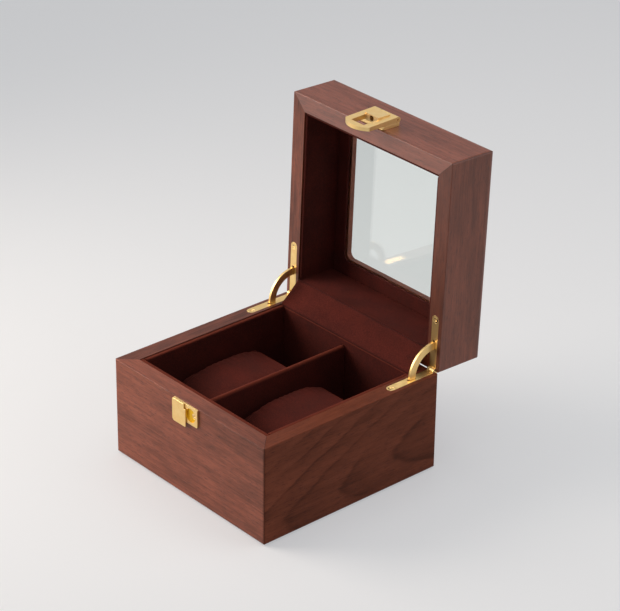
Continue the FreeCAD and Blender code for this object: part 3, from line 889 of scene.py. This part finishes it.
@dataclass
class Lining:
    """Velvet-covered boards in the base and the lid, the frame that holds the pane, and the felt below."""

    dresser: Dresser
    lid: LidTurn
    edge_radius: float = 0.9 * MM
    divider_radius: float = 1.5 * MM
    felt_radius: float = 0.25 * MM
    lip_radius: float = 0.7 * MM
    lip_steps: int = 4
    pile_rise: float = 0.5 * MM
    window_radius: float = 4.0 * MM
    window_steps: int = 8
    outer_share: float = 0.95
    # The mark paints the top edges of the upright linings a lighter pile colour: a painted highlight where
    # light falls on them.
    velvet: Velvet = Velvet(mark=("edge", "#622616"))
    felt: Felt = Felt()

    def dress(self) -> None:
        """Cover every board."""
        velvet = self.velvet.material("lining_velvet")
        for side in ("back", "floor"):
            self._cover("base_lining_" + side, self.edge_radius, velvet, "lining_velvet")
        for side in ("front", "left", "right"):
            self._cover("base_lining_" + side, self.edge_radius, velvet, "lining_velvet", self.pile_rise)
        self._cover("compartment_divider", self.divider_radius, velvet, "lining_velvet")
        for side in ("front", "back", "left", "right"):
            self._cover("lid_lining_" + side, self.edge_radius, velvet, "lining_velvet")
        self._cover("base_felt_pad", self.felt_radius, self.felt.material("pressed_felt"), "felt")
        self._frame(velvet)

    def _cover(self, name: str, radius: float, material: Material, slot: str, rise: float = 0.0) -> None:
        """Stand a covered board in for a CAD board, with the pile on an upright board's top edge brushed up.

        Its lighter colour there is a painted highlight.

        Args:
            name: Name of the node.
            radius: Radius of its edges.
            material: Its finish.
            slot: The record's material slot.
            rise: How far the pile stands above the board's top edge.
        """
        corners = self.dresser.points(name)
        on_lid = self.dresser.body(name) == "lid"
        if on_lid:
            corners = self.lid.shut(corners)
        low, high = corners.min(0), corners.max(0) + [0.0, 0.0, rise]
        points, faces = covered_board(low, high, radius)
        if on_lid:
            points = self.lid.opened(points)
        piece = new_object(name.replace("lining", "velvet") + "_cover", points, faces, material)
        # Painted highlight: the lighter pile colour fades in over the radius below an upright board's top
        # edge.
        if not on_lid and np.argmin(high - low) != 2:
            mark_points(piece, "edge", np.clip((points_of(piece.data)[:, 2] - high[2]) / radius + 1, 0, 1))
        even_normals(piece)
        self.dresser.stand_in(piece, name, slot)

    def _frame(self, material: Material) -> None:
        """Carry the covered frame's section round the window.

        The section runs from the glass side of the window's edge over a rounded lip and out to the frame's
        outer edge. Each of its points lies a fixed step, or a share of the way to the outer edge, out from
        the window's loop.

        Args:
            material: Its finish.
        """
        corners = self.lid.shut(self.dresser.points("window_retainer_frame"))
        low, high = corners.min(0), corners.max(0)
        half, middle = ((high - low) / 2)[:2], (low + high)[:2] / 2
        flat = np.abs(corners[:, :2] - middle)
        inner = flat[np.max(flat / half, axis=1) < self.outer_share].max(0)
        path, outward = rounded_loop(inner[0], inner[1], self.window_radius, self.window_steps)
        reach = np.min((half - np.abs(path)) / np.maximum(np.abs(outward), TINY), axis=1)
        turn = np.linspace(0, math.pi / 2, self.lip_steps + 1)
        top, foot = high[2], low[2]
        out = np.concatenate([[0.0], self.lip_radius * (1 - np.cos(turn)), [0.0, 0.0, 0.0]])
        height = np.concatenate([[top], foot + self.lip_radius * (1 - np.sin(turn)), [foot, foot, top]])
        share = np.concatenate([np.zeros(len(turn) + 1), [0.5, 1.0, 1.0]])
        step = out[:, None] + share[:, None] * reach
        flat = path + outward * step[..., None] + middle
        rows = np.concatenate([flat, np.broadcast_to(height[:, None, None], step.shape + (1,))], axis=-1)
        ring = np.arange(len(path))
        last = (len(rows) - 1) * len(path) + ring
        back = np.stack([last, np.roll(last, -1), np.roll(ring, -1), ring], axis=1)
        faces = np.concatenate([grid_faces(len(rows), len(path), True), back])
        piece = new_object("window_velvet_frame", self.lid.opened(rows.reshape(-1, 3)), faces, material)
        even_normals(piece)
        self.dresser.stand_in(piece, "window_retainer_frame", "lining_velvet")


@dataclass
class Window:
    """Glass pane of the lid."""

    dresser: Dresser
    glass: Glass = Glass()

    def dress(self) -> None:
        """Give the pane its finish."""
        self.dresser.finish("window_glass", self.glass.material("float_glass"))


@dataclass
class Screws:
    """Small countersunk screws with a cross recess, each turned a little further than the last."""

    dresser: Dresser
    lid: LidTurn
    material: Material
    head_radius: float = 1.9 * MM
    head_depth: float = 1.1 * MM
    face_share: float = 0.97
    rim_drop: float = 0.12 * MM
    shank_share: float = 0.46
    tip_share: float = 0.02
    dome: float = 0.22 * MM
    dome_sunk: float = 0.6
    recess: float = 0.55 * MM
    recess_slope: float = 1.25
    arm_length: float = 1.15 * MM
    arm_half_width: float = 0.24 * MM
    arm_softness: float = 0.09 * MM
    turns: int = 64
    rings: int = 22
    first_turn: float = 0.4
    next_turn: float = 0.7

    def head(self, length: float) -> tuple[np.ndarray, np.ndarray]:
        """Shape one screw with its head's face at z = 0, looking up.

        The top is a grid over radius and angle. Its height is the dome, dome times (1 - (r / R)^2), less the
        cross: recess times slope times (1 - r / arm), and the recess at most, where the point lies within an
        arm's half width of either axis. Part of the dome is sunk below z = 0.

        Args:
            length: Whole length.

        Returns:
            Points and faces.
        """
        angle = np.linspace(0, math.tau, self.turns, endpoint=False)
        radius = np.linspace(0, 1, self.rings) * self.head_radius * self.face_share
        reach, around = np.meshgrid(radius, angle, indexing="ij")
        x, y = reach * np.cos(around), reach * np.sin(around)
        narrow = np.minimum(np.abs(x), np.abs(y))
        arm = np.clip((self.arm_half_width - narrow) / self.arm_softness + 0.5, 0, 1)
        depth = np.clip(self.recess_slope * (1 - reach / self.arm_length), 0, 1)
        z = self.dome * (1 - (reach / self.head_radius) ** 2) - self.recess * arm * depth
        top = np.stack([x, y, z - self.dome * self.dome_sunk], axis=-1).reshape(-1, 3)
        shank = self.head_radius * self.shank_share
        low_radius = np.array([self.head_radius, shank, shank, shank * self.tip_share])
        low_height = np.array([-self.rim_drop, -self.head_depth, -length, -length])
        wide, turn = np.meshgrid(low_radius, angle, indexing="ij")
        deep = np.broadcast_to(low_height[:, None], wide.shape)
        lower = np.stack([wide * np.cos(turn), wide * np.sin(turn), deep], axis=-1).reshape(-1, 3)
        return np.concatenate([top, lower]), grid_faces(self.rings + len(low_radius), self.turns, True)

    def dress(self, name: str, outward: Triple) -> None:
        """Stand detailed screws in for a node of plain ones.

        Args:
            name: Name of the node.
            outward: Way that the heads look, on the shut box.
        """
        on_lid = self.dresser.body(name) == "lid"
        axis = int(np.argmax(np.abs(outward)))
        frame = Vector(outward).to_track_quat("Z", "Y").to_matrix()
        points, faces = [], []
        for index, solid in enumerate(islands(self.dresser.node(name).data)):
            solid = self.lid.shut(solid) if on_lid else solid
            low, high = solid.min(0), solid.max(0)
            seat = (low + high) / 2
            seat[axis] = high[axis] if outward[axis] > 0 else low[axis]
            shape, quads = self.head(high[axis] - low[axis])
            spin = Matrix.Rotation(self.first_turn + self.next_turn * index, 3, "Z")
            placed = shape @ np.array(frame @ spin).T + seat
            faces.append(quads + sum(len(part) for part in points))
            points.append(self.lid.opened(placed) if on_lid else placed)
        piece = new_object(name.replace("screws", "cross_screws"), np.concatenate(points),
                           np.concatenate(faces), self.material)
        self.dresser.stand_in(piece, name, "brass_screws")


@dataclass
class Hardware:
    """Quadrant hinges, hasp and catch.

    The hollow's middle is given from the middle of the catch plate's top edge. The pad and its bore are
    measured on the shut box, from the hasp's middle, top and front.
    """

    dresser: Dresser
    lid: LidTurn
    polished: Brass = Brass()
    satin: Brass = Brass(roughness=(0.36, 0.46))
    # Deeper gold for the catch's hollow: a painted reflection of light bouncing in the recess.
    hollow_painted_reflection: Brass = Brass("#efc53c", "#d9ab28", (0.5, 0.6))
    # Darker brass for the hasp pad's sides, foot and bore: painted shade, with a rougher finish.
    pad_painted_shade: Brass = Brass("#cbad7c", "#b29160", (0.45, 0.55))
    pad_half: float = 5.9 * MM
    pad_foot: float = 13.55 * MM
    bore_back: float = 2.125 * MM
    bore_radius: float = 1.75 * MM
    steep: float = 0.7
    hollow_mm: Pair = (4.9, -5.9)
    hollow_radius: float = 4.5 * MM
    hollow_skin: float = 0.1 * MM
    eased_mm: dict[str, float] = field(default_factory=lambda: {
        "hasp_plate": 0.28, "hasp_bracket": 0.2, "catch_plate": 0.2, "catch_slide": 0.22,
        "left_quadrant_stay": 0.2, "right_quadrant_stay": 0.2,
        "left_hinge_base_leaf": 0.14, "left_hinge_lid_leaf": 0.14,
        "right_hinge_base_leaf": 0.14, "right_hinge_lid_leaf": 0.14})

    def dress(self) -> None:
        """Polish the plates, ease their edges and set the screws."""
        polished = self.polished.material("polished_brass")
        satin = self.satin.material("satin_brass")
        for name in ("left_hinge_pin", "right_hinge_pin", "hasp_pin"):
            self.dresser.finish(name, polished)
        for name, width in self.eased_mm.items():
            piece = softened_copy(self.dresser.node(name), name + "_polished", width * MM, satin)
            if name == "catch_plate":
                self._paint_hollow_reflection(piece)
            if name == "hasp_plate":
                self._paint_pad_shade(piece)
            self.dresser.stand_in(piece, name, "brass")
        screws = Screws(self.dresser, self.lid, polished)
        screws.dress("base_hinge_screws", (0.0, 0.0, 1.0))
        screws.dress("lid_hinge_screws", (0.0, 0.0, -1.0))
        screws.dress("catch_screws", (0.0, -1.0, 0.0))
        screws.dress("hasp_bracket_screws", (0.0, -1.0, 0.0))

    def _paint_hollow_reflection(self, piece: Object) -> None:
        """Paint the round hollow of the catch a deeper gold: a painted reflection of light bouncing in the
        recess.

        A face is in the hollow where its middle lies within the hollow's radius and behind the plate's face.

        Args:
            piece: The polished catch plate.
        """
        middles = vectors_of(piece.data.polygons, "center")
        points = points_of(piece.data)
        low, high = points.min(0), points.max(0)
        away = middles[:, [0, 2]] - [(low[0] + high[0]) / 2, high[2]] - np.array(self.hollow_mm) * MM
        inside = np.linalg.norm(away, axis=1) < self.hollow_radius
        deep = middles[:, 1] > low[1] + self.hollow_skin
        self._finish_faces(piece, self.hollow_painted_reflection.material("painted_reflection_gold"), inside & deep)

    def _paint_pad_shade(self, piece: Object) -> None:
        """Give the sides and foot of the hasp's pad, and the bore in its foot, darker brass as painted shade,
        and a rougher finish.

        All lie from the pad's foot upwards. A face is a side or the foot of the pad where it looks aside or
        down within the pad's width, and in the bore where its middle lies within the bore's radius of its
        axis.

        Args:
            piece: The polished hasp.
        """
        middles, normals = (vectors_of(piece.data.polygons, kind) for kind in ("center", "normal"))
        looks = self.lid.shut(middles + normals) - self.lid.shut(middles)
        middles = self.lid.shut(middles)
        points = self.lid.shut(points_of(piece.data))
        low, high = points.min(0), points.max(0)
        aside = np.abs(middles[:, 0] - (low[0] + high[0]) / 2)
        above = middles[:, 2] > high[2] - self.pad_foot
        side = (np.maximum(np.abs(looks[:, 0]), -looks[:, 2]) > self.steep) & (aside < self.pad_half)
        bore = np.hypot(aside, middles[:, 1] - low[1] - self.bore_back) < self.bore_radius
        self._finish_faces(piece, self.pad_painted_shade.material("painted_shade_brass"), above & (side | bore))

    @staticmethod
    def _finish_faces(piece: Object, material: Material, chosen: np.ndarray) -> None:
        """Give some faces of a piece a second finish.

        Args:
            piece: The piece.
            material: The second finish.
            chosen: Whether each face gets it.
        """
        piece.data.materials.append(material)
        piece.data.polygons.foreach_set("material_index", chosen.astype(np.int32))
        piece.data.update()
        LOG.info("%s has %d faces as %s", piece.name, int(chosen.sum()), material.name)


@dataclass
class Pillows:
    """Stuffed velvet pillows, one in each place."""

    dresser: Dresser
    velvet: Velvet = Velvet("#3c120b", "#581d13", "#bd5642")
    start_share: float = 0.955
    voxel: float = 4.0 * MM
    pressure: float = 4.0
    frames: int = 20
    most_moved: float = 5.0 * MM
    smoothing: int = 2
    clearance: float = 0.3 * MM
    seam_inset: float = 5.2 * MM
    seam_width: float = 1.1 * MM
    seam_depth: float = 1.3 * MM
    pucker: float = 0.32 * MM
    pucker_reach: float = 5.0 * MM
    pucker_count: int = 34

    def dress(self) -> None:
        """Stuff both pillows."""
        velvet = self.velvet.material("pillow_velvet")
        for side in ("left", "right"):
            name = side + "_watch_pillow"
            piece = self._stuffed(name, velvet)
            self.dresser.stand_in(piece, name, "pillow_velvet")

    def _stuffed(self, name: str, material: Material) -> Object:
        """Blow a pillow up inside the room that its CAD solid holds.

        Args:
            name: Name of the CAD node.
            material: Its finish.

        Returns:
            The pillow.
        """
        solid = self.dresser.points(name)
        low, high = solid.min(0), solid.max(0)
        work = welded(self.dresser.node(name).data, CAD_GAP)
        bmesh.ops.scale(work, vec=[self.start_share] * 3, verts=work.verts,
                        space=Matrix.Translation(-Vector((low + high) / 2)))
        piece = shown(name + "_stuffed", bpy.data.meshes.new(name), work, material)
        remesh = piece.modifiers.new("remesh", "REMESH")
        remesh.mode = "VOXEL"
        remesh.voxel_size = self.voxel
        self._apply(piece)
        start = points_of(piece.data)
        self._inflate(piece)
        moved = points_of(piece.data) - start
        far = np.linalg.norm(moved, axis=1, keepdims=True)
        self._place(piece, start + moved * np.minimum(1, self.most_moved / np.maximum(far, TINY)))
        smooth = piece.modifiers.new("smooth", "SUBSURF")
        smooth.levels = smooth.render_levels = self.smoothing
        self._apply(piece)
        room = np.array([self.clearance, self.clearance, 0.0])
        self._place(piece, np.clip(self._sewn(points_of(piece.data), low, high), low + room, high - room))
        piece.data.update()
        piece.data.materials.clear()
        piece.data.materials.append(material)
        piece.data.shade_smooth()
        return piece

    @staticmethod
    def _place(piece: Object, points: np.ndarray) -> None:
        """Move the vertices of a piece."""
        piece.data.vertices.foreach_set("co", points.astype(np.float32).ravel())

    @staticmethod
    def _apply(piece: Object) -> None:
        """Put what the modifiers give into the mesh.

        Args:
            piece: The pillow.
        """
        depsgraph = bpy.context.evaluated_depsgraph_get()
        made = bpy.data.meshes.new_from_object(piece.evaluated_get(depsgraph))
        piece.modifiers.clear()
        piece.data = made

    def _inflate(self, piece: Object) -> None:
        """Run the cloth under pressure and keep its last shape.

        Args:
            piece: The pillow.
        """
        cloth = piece.modifiers.new("cloth", "CLOTH")
        cloth.settings.use_pressure = True
        cloth.settings.uniform_pressure_force = self.pressure
        cloth.settings.effector_weights.gravity = 0.0
        cloth.point_cache.frame_end = self.frames
        scene = bpy.context.scene
        for frame in range(1, self.frames + 1):
            scene.frame_set(frame)
        self._apply(piece)
        scene.frame_set(1)

    def _sewn(self, points: np.ndarray, low: np.ndarray, high: np.ndarray) -> np.ndarray:
        """Draw the velvet in along the seam at each end, and pucker it beside the seam.

        A point moves towards the pillow's long middle line by the seam's depth times
        exp(-(distance to the seam / width)^2), plus the pucker times exp(-distance / reach) times
        sin(count times the angle round the middle line).

        Args:
            points: The pillow's points.
            low: Lowest corner of its room.
            high: Highest corner of its room.

        Returns:
            The moved points.
        """
        middle = (low + high) / 2
        apart = np.abs(np.abs(points[:, 0] - middle[0]) - ((high - low)[0] / 2 - self.seam_inset))
        inward = (middle - points) * [0.0, 1.0, 1.0]
        angle = np.arctan2(inward[:, 2], inward[:, 1])
        pull = self.seam_depth * np.exp(-(apart / self.seam_width) ** 2)
        pull += self.pucker * np.exp(-apart / self.pucker_reach) * np.sin(self.pucker_count * angle)
        inward /= np.maximum(np.linalg.norm(inward, axis=1, keepdims=True), TINY)
        return points + inward * pull[:, None]


@dataclass
class Gusset:
    """Velvet strip over the hinge gap, glued to the back lining of the base and of the lid."""

    dresser: Dresser
    sag: float = 0.25 * MM
    ripple: float = 0.25
    ripple_half_waves: int = 5
    ripple_start: float = 0.6
    tuck: float = 1.1 * MM
    roll: float = 0.9 * MM
    roll_reach: float = 2.4
    # How far the painted shade along each seam reaches.
    painted_seam_shade: float = 0.8 * MM
    cloth: float = 0.5 * MM
    columns: int = 49
    roll_steps: int = 8
    flat_steps: int = 10
    # The marked seams get a near-black pile colour: painted shade in the creases along both edges.
    velvet: Velvet = Velvet("#41140d", "#5e2117", "#c05844", 0.34, mark=("painted_seam_shade", "#140404"))

    def dress(self) -> None:
        """Hang the strip between its two edges.

        The strip is a grid over the width and the way from the base to the lid. It lies on the plane of its
        CAD solid, sags by sag times sin(pi v), with a little more and less across the width, and dips into
        the seam at either edge by tuck times exp(-(distance to the edge / roll)^2).
        """
        name = "hinge_gusset"
        corners = self.dresser.points(name)
        left, right = corners[:, 0].min(), corners[:, 0].max()
        side = np.unique(np.round(corners[corners[:, 0] < (left + right) / 2][:, 1:], 6), axis=0)
        side = side[np.argsort(side[:, 1])]
        base_edge, lid_edge = side[:2].mean(0), side[-2:].mean(0)
        along = lid_edge - base_edge
        length = float(np.linalg.norm(along))
        across = np.array([-along[1], along[0]]) / length
        roll_share = self.roll_reach * self.roll / length
        rows = edge_spacing(0.5, roll_share, self.roll_steps, self.flat_steps) + 0.5
        u, v = np.meshgrid(np.linspace(0, 1, self.columns), rows, indexing="ij")
        wave = self.ripple * np.sin(self.ripple_half_waves * math.pi * u + self.ripple_start)
        drop = self.sag * np.sin(math.pi * v) * (1 + wave)
        drop += self.tuck * np.exp(-(np.minimum(v, 1 - v) * length / self.roll) ** 2)
        flat = base_edge + along * v[..., None] - across * drop[..., None]
        points = np.concatenate([(left + (right - left) * u)[..., None], flat], axis=-1).reshape(-1, 3)
        piece = new_object("hinge_velvet_strip", points, grid_faces(self.columns, len(rows), False),
                           self.velvet.material("gusset_velvet"))
        away = (points_of(piece.data)[:, 1:] - base_edge) @ along / length
        # Painted shade along both seams, fading with distance from each edge.
        mark_points(piece, "painted_seam_shade", np.exp(-(np.minimum(away, length - away) / self.painted_seam_shade) ** 2))
        solid = piece.modifiers.new("cloth_thickness", "SOLIDIFY")
        solid.thickness = self.cloth
        solid.offset = 0.0
        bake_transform(piece)
        self.dresser.stand_in(piece, name, "lining_velvet", rides=False)


@dataclass(frozen=True)
class Lamp:
    """A square soft lamp that looks at the box, with its side in metres, its watts and its beam's angle."""

    name: str
    place: Triple
    size: float
    power: float
    colour: str = "#ffffff"
    spread_degrees: float = 180.0
    target: Triple = (0.0, 0.0, 0.08)

    def hang(self) -> None:
        """Put the lamp in the scene."""
        data = bpy.data.lights.new(self.name, "AREA")
        data.spread = math.radians(self.spread_degrees)
        data.size = self.size
        data.energy = self.power
        data.color = srgb(self.colour)[:3]
        lamp = bpy.data.objects.new(self.name, data)
        lamp.location = self.place
        lamp.rotation_mode = "QUATERNION"
        lamp.rotation_quaternion = (Vector(self.target) - Vector(self.place)).to_track_quat("-Z", "Y")
        bpy.context.scene.collection.objects.link(lamp)


@dataclass
class Studio:
    """Camera of the photograph, soft lamps and a pale floor."""

    eye: Triple = (1.0062, -0.8638, 0.8047)
    azimuth: float = 48.4988
    elevation: float = 27.7869
    roll: float = 0.717
    focal_pixels: float = 2554.52
    image_width: float = 620.0
    sensor: float = 36.0
    clip: Pair = (0.05, 50.0)
    lamps: tuple[Lamp, ...] = (
        Lamp("key", (-0.50, -0.38, 0.38), 0.5, 1.7, "#fff4ea", 100.0),
        Lamp("overhead", (-0.05, 0.10, 1.40), 1.2, 5.2),
        Lamp("right_screen", (0.70, 0.60, 0.55), 0.8, 2.3))
    floor_half: float = 4.0
    floor_colour: str = "#efedea"
    floor_cloud: float = 1 / 3
    floor_roughness: Pair = (0.55, 0.7)
    floor_glow: float = 0.42
    room_colour: str = "#f3f5f9"
    room_light: float = 0.18
    room_seen: float = 0.80

    def build(self) -> None:
        """Set up the whole studio."""
        self._camera()
        self._floor()
        for lamp in self.lamps:
            lamp.hang()
        self._world()
        bpy.context.scene.view_settings.view_transform = "Standard"

    def _camera(self) -> None:
        """Stand the camera where the photograph was taken from."""
        side, up = math.radians(self.azimuth), math.radians(self.elevation)
        back = Vector((math.sin(side) * math.cos(up), -math.cos(side) * math.cos(up), math.sin(up)))
        right = Vector((0, 0, 1)).cross(back).normalized()
        over = back.cross(right)
        cos, sin = math.cos(math.radians(self.roll)), math.sin(math.radians(self.roll))
        axes = Matrix((right * cos + over * sin, over * cos - right * sin, back)).transposed()
        data = bpy.data.cameras.new("camera")
        data.sensor_width = self.sensor
        data.lens = self.focal_pixels / self.image_width * self.sensor
        data.clip_start, data.clip_end = self.clip
        camera = bpy.data.objects.new("camera", data)
        camera.matrix_world = Matrix.Translation(self.eye) @ axes.to_4x4()
        bpy.context.scene.collection.objects.link(camera)
        bpy.context.scene.camera = camera

    def _floor(self) -> None:
        """Lay the floor, which runs out of the picture on every side."""
        material, tree, place = new_material("painted_floor")
        cloud = add_node(tree, "TexNoise", place, inputs={"Scale": 1 / self.floor_cloud, "Detail": 2.0})
        rough = add_node(tree, "MapRange", cloud, *WHOLE_RANGE, *self.floor_roughness)
        paint = add_node(tree, "BsdfPrincipled", inputs={
            "Base Color": self.floor_colour, "Roughness": rough})
        glow = add_node(tree, "Emission", self.room_colour)
        share = add_node(tree, "Math", self._seen(tree), self.floor_glow, operation="MULTIPLY")
        add_node(tree, "OutputMaterial", add_node(tree, "MixShader", share, paint, glow))
        corners = np.array([(-1.0, -1.0, 0.0), (1.0, -1.0, 0.0), (1.0, 1.0, 0.0), (-1.0, 1.0, 0.0)])
        floor = new_object("floor", corners * self.floor_half, np.array([[0, 1, 2, 3]]), material)

    @staticmethod
    def _seen(tree: NodeTree) -> NodeSocket:
        """Tell rays that show a surface, in the picture, a mirror or glass, from those that only light it.

        Args:
            tree: Node tree of the surface.

        Returns:
            Output that is 1 for a ray that shows it.
        """
        camera, mirror, glass = (add_node(tree, "LightPath", output=f"Is {kind} Ray")
                                 for kind in ("Camera", "Glossy", "Transmission"))
        either = add_node(tree, "Math", camera, mirror, operation="MAXIMUM")
        return add_node(tree, "Math", either, glass, operation="MAXIMUM")

    def _world(self) -> None:
        """Fill the shadows from a pale room, which shows whiter than it lights."""
        world = bpy.data.worlds.new("room")
        world.use_nodes = True
        tree = world.node_tree
        tree.nodes.clear()
        strength = add_node(tree, "Math", self._seen(tree), self.room_seen - self.room_light,
                            self.room_light, operation="MULTIPLY_ADD")
        add_node(tree, "OutputWorld", add_node(tree, "Background", self.room_colour, strength))
        bpy.context.scene.world = world


def main() -> None:
    """Dress the frame piece by piece and light it."""
    logging.basicConfig(level=logging.INFO, format="%(name)s: %(message)s")
    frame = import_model()
    hinge = next(joint for joint in frame["joints"] if joint["name"] == "lid_hinge")
    lid = LidTurn(tuple(hinge["pos_m"]), hinge["range_deg"][1])
    dresser = Dresser(frame)
    Studio().build()
    Case(dresser, lid).dress()
    Lining(dresser, lid).dress()
    Window(dresser).dress()
    Hardware(dresser, lid).dress()
    Pillows(dresser).dress()
    Gusset(dresser).dress()


if __name__ == "__main__":
    main()
